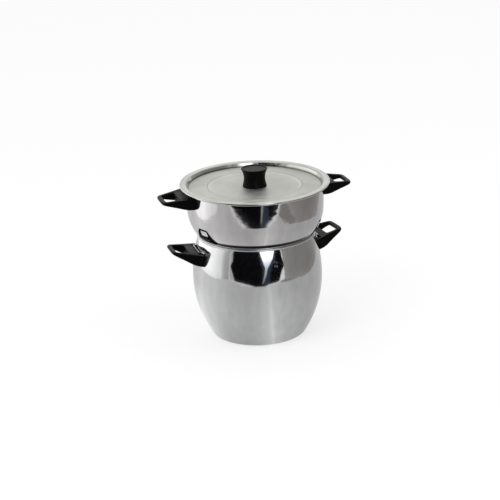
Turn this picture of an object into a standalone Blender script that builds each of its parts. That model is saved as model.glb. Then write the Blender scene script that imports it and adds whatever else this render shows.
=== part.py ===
"""A couscoussier: a barrel-shaped pot, a perforated steamer that sits in its mouth, and a flat lid.

The pot stands on z = 0 with its axis on +Z. The handles lie along X: left is -X, right is +X.
Sizes are in metres. Run with blender --background --python part.py, or from the text editor.
"""
from math import acos, atan2, cos, pi, radians, sin, sqrt, tau

import bmesh
import bpy
from mathutils import Matrix, Vector

MM = 0.001

# Fits and mesh fineness
CLEARANCE = 0.3 * MM            # air between two pieces that seat on each other
SHAFT_CLEARANCE = 0.4 * MM      # radial air around a screw in its hole
OVERRUN = 5 * MM                # how far a cutter runs past what it cuts
MERGE_DISTANCE = 0.001 * MM
SHELL_FACETS = 36               # sides of the three turned shells
KNOB_FACETS = 24
SMALL_FACETS = 14               # sides of screws, washers and their holes
CORNER_STEPS = 2                # straight steps in a rounded corner

# Pot: a deep-drawn barrel with a rolled rim
SHEET = 0.8 * MM                # stainless sheet of all three shells
RIM_ROLL = 2.0 * MM             # outer radius of the rolled rims
ROLL_STEPS = 5                  # eighths of a turn in a rolled rim
POT_HEIGHT = 213 * MM
POT_BASE_RADIUS = 95.5 * MM
POT_BASE_CORNER = 6 * MM
POT_BELLY_RADIUS = 132 * MM
POT_BELLY_HEIGHT = 122 * MM
POT_MOUTH_RADIUS = 116 * MM     # inside the rim
POT_LOWER_STEPS = 6
POT_UPPER_STEPS = 4

# Steamer: a bowl with a narrow neck that drops into the pot, and a punched base
NECK_DEPTH = 22 * MM            # how far the neck reaches below the pot's rim
NECK_FIT = 0.8 * MM             # between the neck and the pot's mouth
NECK_TAPER = 2.5 * MM           # the neck narrows by this much towards its base
NECK_CORNER = 6 * MM
LEDGE_CORNER = 1 * MM
BOWL_RADIUS = 137.6 * MM        # where the bowl runs into the straight wall
BOWL_HEIGHT = 52 * MM           # from the pot's rim to that place
BOWL_STEPS = 5
STEAMER_HEIGHT = 103.5 * MM     # from the pot's rim to the steamer's brim
STEAMER_MOUTH_RADIUS = 138.2 * MM
BRIM_WIDTH = 10.8 * MM          # from the mouth out to the edge of the rolled brim
BRIM_RADIUS = STEAMER_MOUTH_RADIUS + BRIM_WIDTH
BRIM_FILLET = 3 * MM
HOLE_RADIUS = 2.5 * MM
HOLE_SIDES = 6
HOLE_PITCH = 18 * MM            # between rings of holes, and along each ring
HOLE_MARGIN = 8 * MM            # plain metal between the outermost holes and the neck's corner

# Lid: a pressed disc with a sunk panel, whose middle is pressed down a little further
LID_OVERHANG = 2 * MM           # how far the lid's edge stands past the brim that it lies on
LID_RADIUS = BRIM_RADIUS + LID_OVERHANG
LID_HEM = 2.2 * MM              # height of the turned-down edge
LID_HEM_CORNER = 1.5 * MM
LID_RECESS = 8.3 * MM           # from the flange down to the panel
LID_WALL_RUN = 4.2 * MM         # how far the recess wall leans in
LID_FIT = 0.4 * MM              # between the recess wall and the steamer's mouth
LID_CORNER = 1.6 * MM
PANEL_RISE = 0.8 * MM           # the panel climbs this much towards its middle
MIDDLE_RADIUS = 94 * MM
MIDDLE_SINK = 2.0 * MM          # how far the middle is pressed down
MIDDLE_RUN = 5 * MM
MIDDLE_CORNER = 3 * MM

# Knob: a moulded spool on the lid, with a threaded insert and a screw from below
KNOB_HEIGHT = 37 * MM
KNOB_TOP_RADIUS = 26.5 * MM
KNOB_WAIST_RADIUS = 21 * MM
KNOB_FOOT_RADIUS = 24.5 * MM
KNOB_WAIST_SHARE = 0.48         # height of the waist in the knob's height
KNOB_EDGE = 2 * MM
KNOB_DISH_DEPTH = 1.5 * MM
KNOB_DISH_RIM = 3 * MM
KNOB_FLARE_STEPS = 3
KNOB_FLARE_POWER = 1.5
INSERT_RADIUS = 5 * MM
INSERT_LENGTH = 16 * MM
INSERT_END = 3 * MM             # solid metal past the insert's blind bore

# Handles: moulded loops, flat on top and wedge-shaped below
HANDLE_ROOT_HALF_WIDTH = 43.5 * MM
HANDLE_TIP_HALF_WIDTH = 28 * MM
HANDLE_REACH = 58 * MM          # from the wall to the tip
HANDLE_THICKNESS = 23 * MM      # at the root
HANDLE_TIP_THICKNESS = 4.5 * MM
HANDLE_FLAT_LENGTH = 8 * MM     # the underside starts to climb here
HANDLE_PLAN_CORNER = 9 * MM
HANDLE_HEEL_CORNER = 10 * MM    # where the underside starts to climb
HANDLE_TIP_CORNER = 1.8 * MM
HANDLE_EDGE = 1.2 * MM
FINGER_HOLE_START = 22.5 * MM   # from the wall
FINGER_HOLE_LENGTH = 26 * MM
FINGER_HOLE_CORNER = 3.5 * MM
ARM_WIDTH = 10 * MM
STEAMER_HANDLE_DROP = 8 * MM    # top of the handle below the brim
STEAMER_HANDLE_TILT = radians(-6)
STEAMER_HANDLE_TURNS = {"right": 0, "left": pi}
POT_HANDLE_DROP = 24.5 * MM     # top of the handle below the pot's rim
POT_HANDLE_TILT = radians(10)
POT_HANDLE_TURNS = {"right": radians(7), "left": pi}    # the right one is welded on a little further round

# Brackets: a folded strip, spot-welded to the wall, that the handle slides over
BRACKET_THICKNESS = 1.5 * MM
BRACKET_STANDOFF = 2.5 * MM     # from the wall to the back of the strip's middle
BRACKET_MIDDLE_HALF_WIDTH = 22 * MM
BRACKET_LEG_RUN = 2.5 * MM
BRACKET_HALF_WIDTH = 35 * MM
BRACKET_ABOVE_HANDLE = 2.5 * MM
BRACKET_BELOW_SCREW = 7 * MM
WELD_GAP = 0.4 * MM             # between a foot and the wall

# Screws and washers
SCREW_RADIUS = 2.5 * MM
SCREW_HEAD_RADIUS = 4.5 * MM
SCREW_HEAD_HEIGHT = 2.8 * MM
SCREW_TAIL = 1 * MM             # thread that shows behind the bracket
SCREW_TIP_GAP = 1 * MM          # between the knob's screw and the end of the insert's bore
COUNTERBORE_RADIUS = 5.8 * MM
COUNTERBORE_DEPTH = 6 * MM
HANDLE_WASHER_RADIUS = 5 * MM
HANDLE_WASHER_THICKNESS = 0.8 * MM
KNOB_WASHER_RADIUS = 9 * MM
KNOB_WASHER_THICKNESS = 1 * MM


def clear_scene():
    for item in list(bpy.data.objects):
        bpy.data.objects.remove(item, do_unlink=True)


def make_material(name, colour, metallic, roughness):
    material = bpy.data.materials.new(name)
    material.use_nodes = True
    shader = material.node_tree.nodes["Principled BSDF"]
    shader.inputs["Base Color"].default_value = (*colour, 1)
    shader.inputs["Metallic"].default_value = metallic
    shader.inputs["Roughness"].default_value = roughness
    return material


def make_assembly(name, height):
    """An empty on the common axis, which carries the pieces of one vessel or of the lid."""
    assembly = bpy.data.objects.new(name, None)
    bpy.context.scene.collection.objects.link(assembly)
    assembly.location.z = height
    return assembly


def finish_mesh(name, bm, assembly, material=None, placement=None):
    """Put a bmesh into the scene as a smooth-shaded object with its faces pointing out."""
    bmesh.ops.recalc_face_normals(bm, faces=bm.faces)
    mesh = bpy.data.meshes.new(name)
    bm.to_mesh(mesh)
    bm.free()
    mesh.shade_smooth()
    mesh.set_sharp_from_angle(angle=radians(32))
    if material:
        mesh.materials.append(material)
    piece = bpy.data.objects.new(name, mesh)
    bpy.context.scene.collection.objects.link(piece)
    piece.parent = assembly
    if placement:
        piece.matrix_basis = placement
    return piece


def hide_cutter(cutter):
    cutter.hide_render = True
    cutter.display_type = "WIRE"
    return cutter


def combine(piece, other, operation):
    boolean = piece.modifiers.new(operation.title(), "BOOLEAN")
    boolean.operation = operation
    boolean.solver = "EXACT"
    boolean.object = hide_cutter(other)


def arc(centre, radius, start, end, steps):
    """Points on an arc from one angle to another, both ends included."""
    angles = [start + (end - start) * step / steps for step in range(steps + 1)]
    return [(centre[0] + radius * cos(angle), centre[1] + radius * sin(angle)) for angle in angles]


def rounded(corners, closed=False):
    """An outline through (x, y, corner radius) points, with each corner turned into an arc."""
    outline = []
    for index, (x, y, radius) in enumerate(corners):
        at_end = not closed and index in (0, len(corners) - 1)
        if radius == 0 or at_end:
            outline.append((x, y))
            continue
        corner = Vector((x, y))
        before = (Vector(corners[index - 1][:2]) - corner).normalized()
        after = (Vector(corners[(index + 1) % len(corners)][:2]) - corner).normalized()
        half_angle = acos(max(-1, min(1, before.dot(after)))) / 2
        reach = radius * cos(half_angle) / sin(half_angle)
        centre = corner + (before + after).normalized() * (radius / sin(half_angle))
        first = corner + before * reach - centre
        last = corner + after * reach - centre
        start = atan2(first.y, first.x)
        turn = (atan2(last.y, last.x) - start + pi) % tau - pi
        outline += arc(centre, radius, start, start + turn, CORNER_STEPS)
    return outline


def offset_path(path, distance):
    """Shift an open (r, z) path to its left by a distance, with mitred corners."""
    points = [Vector(point) for point in path]
    shifted = []
    for index, point in enumerate(points):
        sides = []
        for first, second in ((index - 1, index), (index, index + 1)):
            if 0 <= first and second < len(points):
                along = (points[second] - points[first]).normalized()
                sides.append(Vector((-along.y, along.x)))
        middle = sum(sides, Vector((0, 0))).normalized()
        moved = point + middle * (distance / middle.dot(sides[0]))
        on_axis = point.x == 0
        shifted.append((0 if on_axis else moved.x, moved.y))
    return shifted


def bulge(widest, drop, reach, distance):
    """Radius at a distance from the widest height, on an arc that loses the drop over the reach."""
    curve = (reach ** 2 + drop ** 2) / (2 * drop)
    return widest - curve + sqrt(curve ** 2 - distance ** 2)


def tangent_arc(start, along, end, steps):
    """Points after the start on the arc that leaves it along a direction and ends at another point."""
    start, along, chord = Vector(start), Vector(along).normalized(), Vector(end) - Vector(start)
    half_turn = along.angle_signed(chord)
    radius = chord.length / (2 * sin(half_turn))
    across = Vector((along.y, -along.x))
    points = []
    for step in range(1, steps + 1):
        turn = 2 * half_turn * step / steps
        points.append(tuple(start + radius * (along * sin(turn) + across * (1 - cos(turn)))))
    return points


def wall_radius(path, height):
    """Outer radius of a turned wall at a height."""
    radii = []
    for (r0, z0), (r1, z1) in zip(path, path[1:]):
        if min(z0, z1) <= height <= max(z0, z1) and z0 != z1:
            radii.append(r0 + (r1 - r0) * (height - z0) / (z1 - z0))
    return max(radii)


def turned(name, outline, assembly, material=None, facets=SMALL_FACETS, placement=None):
    """Spin an (r, z) outline about Z. Where it starts on the axis it stays open there."""
    bm = bmesh.new()
    verts = [bm.verts.new((r, 0, z)) for r, z in outline]
    edges = [bm.edges.new(pair) for pair in zip(verts, verts[1:])]
    if outline[0][0] > 0:
        edges.append(bm.edges.new((verts[-1], verts[0])))
    bmesh.ops.spin(bm, geom=verts + edges, axis=(0, 0, 1), cent=(0, 0, 0), angle=tau, steps=facets,
                   use_merge=True, use_duplicate=False)
    bmesh.ops.remove_doubles(bm, verts=bm.verts, dist=MERGE_DISTANCE)
    return finish_mesh(name, bm, assembly, material, placement)


def prism(name, outline, low, high, assembly, material=None, placement=None):
    """Extrude an (x, y) outline from one height to another."""
    bm = bmesh.new()
    face = bm.faces.new([bm.verts.new((x, y, low)) for x, y in outline])
    lifted = bmesh.ops.extrude_face_region(bm, geom=[face])["geom"]
    top = [item for item in lifted if isinstance(item, bmesh.types.BMVert)]
    bmesh.ops.translate(bm, verts=top, vec=(0, 0, high - low))
    return finish_mesh(name, bm, assembly, material, placement)


def pressed_shell(name, path, assembly, material):
    """A turned sheet-metal shell: the path is its outer face, and the sheet lies inside it."""
    inside = offset_path(path, SHEET)
    return turned(name, path + inside[::-1], assembly, material, SHELL_FACETS)


def pot_path():
    """The pot's outer face, from the middle of the base to the rolled rim."""
    roll_centre = (POT_MOUTH_RADIUS + RIM_ROLL, POT_HEIGHT - RIM_ROLL)
    lower = [POT_BELLY_HEIGHT * step / POT_LOWER_STEPS for step in range(1, POT_LOWER_STEPS + 1)]
    rise = roll_centre[1] - RIM_ROLL - POT_BELLY_HEIGHT
    upper = [POT_BELLY_HEIGHT + rise * step / POT_UPPER_STEPS for step in range(1, POT_UPPER_STEPS + 1)]
    low_drop = POT_BELLY_RADIUS - POT_BASE_RADIUS
    high_drop = POT_BELLY_RADIUS - POT_MOUTH_RADIUS - SHEET
    high_reach = POT_HEIGHT - POT_BELLY_HEIGHT
    wall = [(bulge(POT_BELLY_RADIUS, low_drop, POT_BELLY_HEIGHT, POT_BELLY_HEIGHT - z), z) for z in lower]
    wall += [(bulge(POT_BELLY_RADIUS, high_drop, high_reach, z - POT_BELLY_HEIGHT), z) for z in upper]
    base = rounded([(0, 0, 0), (POT_BASE_RADIUS, 0, POT_BASE_CORNER), (*wall[0], 0)])
    return base + wall[1:] + arc(roll_centre, RIM_ROLL - SHEET, pi, pi - ROLL_STEPS * pi / 4, ROLL_STEPS)


def steamer_path():
    """The steamer's outer face, from the middle of its base to the rolled brim; z = 0 is the pot's rim."""
    seat = (POT_MOUTH_RADIUS + RIM_ROLL, CLEARANCE)
    neck_radius = POT_MOUTH_RADIUS - NECK_FIT
    neck = rounded([(0, -NECK_DEPTH, 0), (neck_radius - NECK_TAPER, -NECK_DEPTH, NECK_CORNER),
                    (neck_radius, seat[1], LEDGE_CORNER), (*seat, 0)])
    wall_foot = Vector((BOWL_RADIUS, BOWL_HEIGHT))
    wall_top = Vector((STEAMER_MOUTH_RADIUS + SHEET, STEAMER_HEIGHT - SHEET))
    bowl = tangent_arc(wall_foot, wall_foot - wall_top, seat, BOWL_STEPS)[-2::-1]
    roll_centre = (BRIM_RADIUS - RIM_ROLL, STEAMER_HEIGHT - RIM_ROLL)
    brim = rounded([(*wall_foot, 0), (*wall_top, BRIM_FILLET), (roll_centre[0], wall_top.y, 0)])
    roll = arc(roll_centre, RIM_ROLL - SHEET, pi / 2, pi / 2 - ROLL_STEPS * pi / 4, ROLL_STEPS)
    return neck + bowl + brim[:-1] + roll


def lid_path():
    """The lid's underside, from its screw hole to the hem; z = 0 is the steamer's brim."""
    hole = SCREW_RADIUS + SHAFT_CLEARANCE
    flange = CLEARANCE
    panel = flange - LID_RECESS
    wall_top = STEAMER_MOUTH_RADIUS - LID_FIT
    wall_foot = wall_top - LID_WALL_RUN
    middle_foot = panel + PANEL_RISE
    middle = middle_foot - MIDDLE_SINK
    hem = (LID_RADIUS - SHEET, flange + SHEET - LID_HEM)
    return rounded([(hole, middle, 0), (MIDDLE_RADIUS - MIDDLE_RUN, middle, MIDDLE_CORNER),
                    (MIDDLE_RADIUS, middle_foot, MIDDLE_CORNER), (wall_foot, panel, LID_CORNER),
                    (wall_top, flange, LID_CORNER), (hem[0], flange, LID_HEM_CORNER - SHEET), (*hem, 0)])


def lid_middle():
    """Height of the lid's underside where the knob is fixed."""
    return lid_path()[0][1]


def hole_places():
    """Centres of the steam holes: one in the middle, and rings of six more each time around it."""
    reach = POT_MOUTH_RADIUS - NECK_FIT - NECK_TAPER - NECK_CORNER - HOLE_MARGIN
    rings = int(reach / HOLE_PITCH)
    places = [(0, 0)]
    for ring in range(1, rings + 1):
        for index in range(6 * ring):
            angle = tau * index / (6 * ring)
            places.append((ring * HOLE_PITCH * cos(angle), ring * HOLE_PITCH * sin(angle)))
    return places


def make_punches(assembly):
    """One cutter with a pin for every steam hole."""
    bm = bmesh.new()
    for x, y in hole_places():
        place = Matrix.Translation((x, y, -NECK_DEPTH))
        bmesh.ops.create_cone(bm, cap_ends=True, segments=HOLE_SIDES, radius1=HOLE_RADIUS,
                              radius2=HOLE_RADIUS, depth=2 * OVERRUN, matrix=place)
    return finish_mesh("steam_hole_punches", bm, assembly)


def make_screw(name, length, assembly, material, placement):
    """A pan-head screw: the head sits on z = 0 and the shank runs down to -length."""
    edge = SCREW_HEAD_HEIGHT / 3
    head = [(SCREW_RADIUS, 0), (SCREW_HEAD_RADIUS, 0), (SCREW_HEAD_RADIUS, SCREW_HEAD_HEIGHT - edge),
            (SCREW_HEAD_RADIUS - edge, SCREW_HEAD_HEIGHT), (0, SCREW_HEAD_HEIGHT)]
    turned(name, [(0, -length), (SCREW_RADIUS, -length)] + head, assembly, material, placement=placement)


def make_washer(name, radius, thickness, assembly, material, placement):
    """A flat ring that lies on z = 0."""
    bore = SCREW_RADIUS + SHAFT_CLEARANCE
    ring = [(bore, 0), (radius, 0), (radius, thickness), (bore, thickness)]
    turned(name, ring, assembly, material, placement=placement)


def handle_half_width(x):
    """Half the handle's width at a distance from the wall; it is widest where it meets the wall."""
    root = -HANDLE_ROOT_HALF_WIDTH ** 2 / (2 * POT_BELLY_RADIUS)
    share = (x - root) / (HANDLE_REACH - root)
    return HANDLE_ROOT_HALF_WIDTH + (HANDLE_TIP_HALF_WIDTH - HANDLE_ROOT_HALF_WIDTH) * share


def handle_block(name, assembly, material, placement):
    """The outer form of a handle: its plan, cut to the wedge that shows from the side."""
    inner = -HANDLE_THICKNESS
    width = handle_half_width(inner)
    plan = rounded([(inner, -width, 0), (HANDLE_REACH, -HANDLE_TIP_HALF_WIDTH, HANDLE_PLAN_CORNER),
                    (HANDLE_REACH, HANDLE_TIP_HALF_WIDTH, HANDLE_PLAN_CORNER), (inner, width, 0)], True)
    block = prism(name, plan, -HANDLE_THICKNESS, HANDLE_THICKNESS, assembly, material, placement)
    top = HANDLE_THICKNESS / 2
    side = rounded([(inner - OVERRUN, -top, 0), (HANDLE_FLAT_LENGTH, -top, HANDLE_HEEL_CORNER),
                    (HANDLE_REACH, top - HANDLE_TIP_THICKNESS, HANDLE_TIP_CORNER),
                    (HANDLE_REACH, top, HANDLE_TIP_CORNER), (inner - OVERRUN, top, 0)], True)
    upright = placement @ Matrix.Rotation(pi / 2, 4, "X")
    reach = width + OVERRUN
    combine(block, prism(f"{name}_side_form", side, -reach, reach, assembly, placement=upright), "INTERSECT")
    return block


def cut_finger_hole(handle, assembly, placement):
    near, far = FINGER_HOLE_START, FINGER_HOLE_START + FINGER_HOLE_LENGTH
    near_half, far_half = handle_half_width(near) - ARM_WIDTH, handle_half_width(far) - ARM_WIDTH
    corner = FINGER_HOLE_CORNER
    plan = rounded([(near, -near_half, corner), (far, -far_half, corner), (far, far_half, corner),
                    (near, near_half, corner)], True)
    reach = HANDLE_THICKNESS / 2 + OVERRUN
    cutter = prism(f"{handle.name}_finger_hole", plan, -reach, reach, assembly, placement=placement)
    combine(handle, cutter, "DIFFERENCE")


def soften_edges(handle):
    bevel = handle.modifiers.new("Soft edges", "BEVEL")
    bevel.width = HANDLE_EDGE
    bevel.segments = 1
    bevel.limit_method = "ANGLE"
    bevel.angle_limit = radians(40)


def cut_bracket_pocket(handle, assembly, placement):
    """The pocket in the handle's root, open towards the wall and at the top."""
    depth = BRACKET_STANDOFF + BRACKET_THICKNESS + CLEARANCE
    half = BRACKET_HALF_WIDTH + BRACKET_THICKNESS
    inner = -HANDLE_THICKNESS - OVERRUN
    plan = [(inner, -half), (depth, -half), (depth, half), (inner, half)]
    low = -BRACKET_BELOW_SCREW - CLEARANCE
    high = HANDLE_THICKNESS / 2 + OVERRUN
    cutter = prism(f"{handle.name}_pocket", plan, low, high, assembly, placement=placement)
    combine(handle, cutter, "DIFFERENCE")


def make_drill(name, assembly, placement):
    """A cutter along the screw's axis: a through bore, and a counterbore from the finger hole."""
    bore = SCREW_RADIUS + SHAFT_CLEARANCE
    floor = FINGER_HOLE_START - COUNTERBORE_DEPTH
    mouth = FINGER_HOLE_START + OVERRUN
    steps = [(0, -OVERRUN), (bore, -OVERRUN), (bore, floor), (COUNTERBORE_RADIUS, floor),
             (COUNTERBORE_RADIUS, mouth), (0, mouth)]
    along = placement @ Matrix.Rotation(pi / 2, 4, "Y")
    return turned(name, steps, assembly, placement=along)


def make_wall_form(name, path, top, assembly):
    """The vessel's outside up to a height, grown by the clearance: it cuts a handle's root to fit."""
    grown = offset_path(path, -CLEARANCE)
    outline = [point for point in grown if point[1] < top]
    return turned(name, outline + [(wall_radius(grown, top), top), (0, top)], assembly, facets=SHELL_FACETS)


def wall_depth(path, placement, y, z):
    """Where the wall lies along a handle's own x, at the handle's own y and z."""
    x = 0
    for _ in range(6):
        point = placement @ Vector((x, y, z))
        x += sqrt(wall_radius(path, point.z) ** 2 - y ** 2) - point.x
    return x


def make_bracket(name, path, assembly, material, placement, turn, drill):
    """A folded strip: two feet against the wall, and a flat middle that stands off it."""
    low, high = -BRACKET_BELOW_SCREW, HANDLE_THICKNESS / 2 + BRACKET_ABOVE_HANDLE
    folds = (BRACKET_HALF_WIDTH, BRACKET_MIDDLE_HALF_WIDTH + BRACKET_LEG_RUN)
    bm = bmesh.new()
    rings = []
    for z in (low, high):
        feet = [(wall_depth(path, placement, y, z) + WELD_GAP, y) for y in folds]
        half_back = feet + [(BRACKET_STANDOFF, BRACKET_MIDDLE_HALF_WIDTH)]
        back = [(x, -y) for x, y in half_back] + half_back[::-1]
        front = offset_path(back, -BRACKET_THICKNESS)
        rings.append([bm.verts.new((x, y, z)) for x, y in back + front[::-1]])
    below, above = rings
    count = len(below)
    for index in range(count):
        following = (index + 1) % count
        bm.faces.new((below[index], below[following], above[following], above[index]))
    bm.faces.new(below)
    bm.faces.new(above)
    bracket = finish_mesh(name, bm, assembly, material, turn @ placement)
    combine(bracket, drill, "DIFFERENCE")


def fit_handle(vessel, side, turn, path, top, tilt, assembly, form, phenolic, steel):
    """One handle with its bracket, screw and washer, on the side that the turn brings round."""
    height = top - HANDLE_THICKNESS / 2
    seat = Matrix.Translation((wall_radius(path, height), 0, height)) @ Matrix.Rotation(-tilt, 4, "Y")
    placement = turn @ seat
    handle = handle_block(f"{vessel}_handle_{side}", assembly, phenolic, placement)
    cut_finger_hole(handle, assembly, placement)
    soften_edges(handle)
    cut_bracket_pocket(handle, assembly, placement)
    drill = make_drill(f"{vessel}_drill_{side}", assembly, placement)
    combine(handle, drill, "DIFFERENCE")
    combine(handle, form, "DIFFERENCE")
    make_bracket(f"{vessel}_bracket_{side}", path, assembly, steel, seat, turn, drill)
    along = placement @ Matrix.Rotation(pi / 2, 4, "Y")
    washer_z = FINGER_HOLE_START - COUNTERBORE_DEPTH + CLEARANCE
    make_washer(f"{vessel}_handle_washer_{side}", HANDLE_WASHER_RADIUS, HANDLE_WASHER_THICKNESS, assembly,
                steel, along @ Matrix.Translation((0, 0, washer_z)))
    head_z = washer_z + HANDLE_WASHER_THICKNESS + CLEARANCE
    make_screw(f"{vessel}_handle_screw_{side}", head_z - BRACKET_STANDOFF + SCREW_TAIL, assembly, steel,
               along @ Matrix.Translation((0, 0, head_z)))


def fit_handles(vessel, path, top, tilt, turns, assembly, phenolic, steel):
    form = make_wall_form(f"{vessel}_wall_form", path, top + OVERRUN, assembly)
    for side, angle in turns.items():
        turn = Matrix.Rotation(angle, 4, "Z")
        fit_handle(vessel, side, turn, path, top, tilt, assembly, form, phenolic, steel)


def knob_outline():
    """The spool's outline, from the end of the insert's socket round to the middle of its dished top."""
    socket = (INSERT_RADIUS + CLEARANCE, INSERT_LENGTH + CLEARANCE)
    waist = KNOB_HEIGHT * KNOB_WAIST_SHARE
    corners = [(0, socket[1], 0), (*socket, 0), (socket[0], 0, 0), (KNOB_FOOT_RADIUS, 0, KNOB_EDGE / 2)]
    for end, end_radius in ((0, KNOB_FOOT_RADIUS), (KNOB_HEIGHT, KNOB_TOP_RADIUS)):
        flare = []
        for step in range(1, KNOB_FLARE_STEPS):
            share = step / KNOB_FLARE_STEPS
            radius = KNOB_WAIST_RADIUS + (end_radius - KNOB_WAIST_RADIUS) * share ** KNOB_FLARE_POWER
            flare.append((radius, waist + (end - waist) * share, 0))
        corners += flare[::-1] + [(KNOB_WAIST_RADIUS, waist, 0)] if end == 0 else flare
    dish = KNOB_TOP_RADIUS - KNOB_DISH_RIM
    bottom = KNOB_HEIGHT - KNOB_DISH_DEPTH
    corners += [(KNOB_TOP_RADIUS, KNOB_HEIGHT, KNOB_EDGE), (dish, KNOB_HEIGHT, 0),
                (dish - KNOB_DISH_RIM, bottom, 0), (0, bottom, 0)]
    return rounded(corners)


def fit_knob(lid, phenolic, brass, steel):
    """The knob on the lid, its insert, and the screw and washer that hold it from below."""
    under = lid_middle()
    foot = Matrix.Translation((0, 0, under + SHEET + CLEARANCE))
    turned("lid_knob", knob_outline(), lid, phenolic, KNOB_FACETS, foot)
    bore, bore_end = SCREW_RADIUS + SHAFT_CLEARANCE, INSERT_LENGTH - INSERT_END
    insert = [(0, bore_end), (bore, bore_end), (bore, 0), (INSERT_RADIUS, 0), (INSERT_RADIUS, INSERT_LENGTH),
              (0, INSERT_LENGTH)]
    turned("knob_insert", insert, lid, brass, placement=foot)
    washer_z = under - CLEARANCE - KNOB_WASHER_THICKNESS
    make_washer("knob_washer", KNOB_WASHER_RADIUS, KNOB_WASHER_THICKNESS, lid, steel,
                Matrix.Translation((0, 0, washer_z)))
    head_z = washer_z - CLEARANCE
    length = under + SHEET + bore_end - SCREW_TIP_GAP - head_z
    make_screw("knob_screw", length, lid, steel,
               Matrix.Translation((0, 0, head_z)) @ Matrix.Rotation(pi, 4, "X"))


def build():
    clear_scene()
    steel = make_material("polished_stainless_steel", (0.62, 0.62, 0.61), 1, 0.15)
    zinc = make_material("zinc_plated_steel", (0.55, 0.56, 0.58), 1, 0.35)
    brass = make_material("brass", (0.70, 0.52, 0.22), 1, 0.35)
    phenolic = make_material("black_phenolic", (0.012, 0.012, 0.011), 0, 0.35)
    pot = make_assembly("pot", 0)
    steamer = make_assembly("steamer", POT_HEIGHT)
    lid = make_assembly("lid", POT_HEIGHT + STEAMER_HEIGHT)
    pressed_shell("pot_body", pot_path(), pot, steel)
    basket = pressed_shell("steamer_body", steamer_path(), steamer, steel)
    combine(basket, make_punches(steamer), "DIFFERENCE")
    pressed_shell("lid_pan", lid_path(), lid, steel)
    fit_handles("pot", pot_path(), POT_HEIGHT - POT_HANDLE_DROP, POT_HANDLE_TILT, POT_HANDLE_TURNS, pot,
                phenolic, zinc)
    fit_handles("steamer", steamer_path(), STEAMER_HEIGHT - STEAMER_HANDLE_DROP, STEAMER_HANDLE_TILT,
                STEAMER_HANDLE_TURNS, steamer, phenolic, zinc)
    fit_knob(lid, phenolic, brass, zinc)


build()
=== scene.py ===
"""Looks of the couscoussier: its turned shells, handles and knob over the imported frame, with a plain studio.

The object's sizes are written in millimetres and turned into metres where a mesh is made; the studio is in
metres. The frame's axes are the part's: +Z up along the common axis, handles along X.
"""
from math import atan2, cos, pi, radians, sin, sqrt, tau

import bpy
from mathutils import Matrix, Vector


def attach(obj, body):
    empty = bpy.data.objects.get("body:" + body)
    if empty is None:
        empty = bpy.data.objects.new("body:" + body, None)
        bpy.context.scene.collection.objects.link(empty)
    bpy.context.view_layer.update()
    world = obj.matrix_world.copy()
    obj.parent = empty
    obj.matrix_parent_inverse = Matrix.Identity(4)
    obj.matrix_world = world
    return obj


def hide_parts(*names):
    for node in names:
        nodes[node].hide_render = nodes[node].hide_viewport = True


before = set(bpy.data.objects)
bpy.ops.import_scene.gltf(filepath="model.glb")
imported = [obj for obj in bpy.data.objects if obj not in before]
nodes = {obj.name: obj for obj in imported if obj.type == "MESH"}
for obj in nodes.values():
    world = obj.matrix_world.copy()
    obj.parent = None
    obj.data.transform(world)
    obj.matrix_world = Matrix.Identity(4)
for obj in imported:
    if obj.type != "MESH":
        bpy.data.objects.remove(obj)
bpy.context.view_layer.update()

MM = 0.001

# The sheet's thickness, the inner radius of the rolled rims, and the steps in a full turn
SHEET, ROLL = 0.8, 1.2
SHELL_STEPS, KNOB_STEPS = 180, 96


# Small helpers for working in edit mode

def deselect_all():
    if bpy.context.object and bpy.context.object.mode != "OBJECT":
        bpy.ops.object.mode_set(mode="OBJECT")
    bpy.ops.object.select_all(action="DESELECT")


def work_on(piece):
    deselect_all()
    piece.select_set(True)
    bpy.context.view_layer.objects.active = piece


def tidy_mesh(piece, angle=32):
    """Close the seams, point the faces outward and shade smooth up to an angle."""
    work_on(piece)
    bpy.ops.object.mode_set(mode="EDIT")
    bpy.ops.mesh.select_all(action="SELECT")
    bpy.ops.mesh.remove_doubles(threshold=0.002 * MM)
    bpy.ops.mesh.normals_make_consistent(inside=False)
    bpy.ops.object.mode_set(mode="OBJECT")
    bpy.ops.object.shade_smooth_by_angle(angle=radians(angle))
    return piece


def cut_away(piece, cutter):
    """Cut a piece with a cutter, which is gone afterwards."""
    cut = piece.modifiers.new("Cut", "BOOLEAN")
    cut.operation, cut.solver, cut.object = "DIFFERENCE", "EXACT", cutter
    work_on(piece)
    bpy.ops.object.modifier_apply(modifier=cut.name)
    bpy.data.objects.remove(cutter, do_unlink=True)


def on_circle(centre, radius, angle):
    return (centre[0] + radius * cos(angle), centre[1] + radius * sin(angle))


def arc(centre, radius, start, end, steps):
    """(r, z) points on an arc between two angles in degrees, both ends included."""
    turn = [radians(start + (end - start) * step / steps) for step in range(steps + 1)]
    return [on_circle(centre, radius, angle) for angle in turn]


def rounded(corners, steps=6):
    """An open outline through (r, z, corner radius) points, each corner turned into an arc."""
    lead = 0.12
    outline = []
    for index, (r, z, radius) in enumerate(corners):
        if not radius or index in (0, len(corners) - 1):
            outline.append((r, z))
            continue
        corner = Vector((r, z))
        before = (Vector(corners[index - 1][:2]) - corner).normalized()
        after = (Vector(corners[index + 1][:2]) - corner).normalized()
        half = before.angle(after) / 2
        middle = corner + (before + after).normalized() * radius / sin(half)
        first = corner + before * radius * cos(half) / sin(half) - middle
        last = corner + after * radius * cos(half) / sin(half) - middle
        start = atan2(first.y, first.x)
        turn = (atan2(last.y, last.x) - start + pi) % tau - pi
        # a ring just before and after each corner keeps the flat beside it flat in its shading
        outline.append(tuple(middle + first + before * radius * lead))
        outline += [on_circle(middle, radius, start + turn * step / steps) for step in range(steps + 1)]
        outline.append(tuple(middle + last + after * radius * lead))
    return outline


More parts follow.
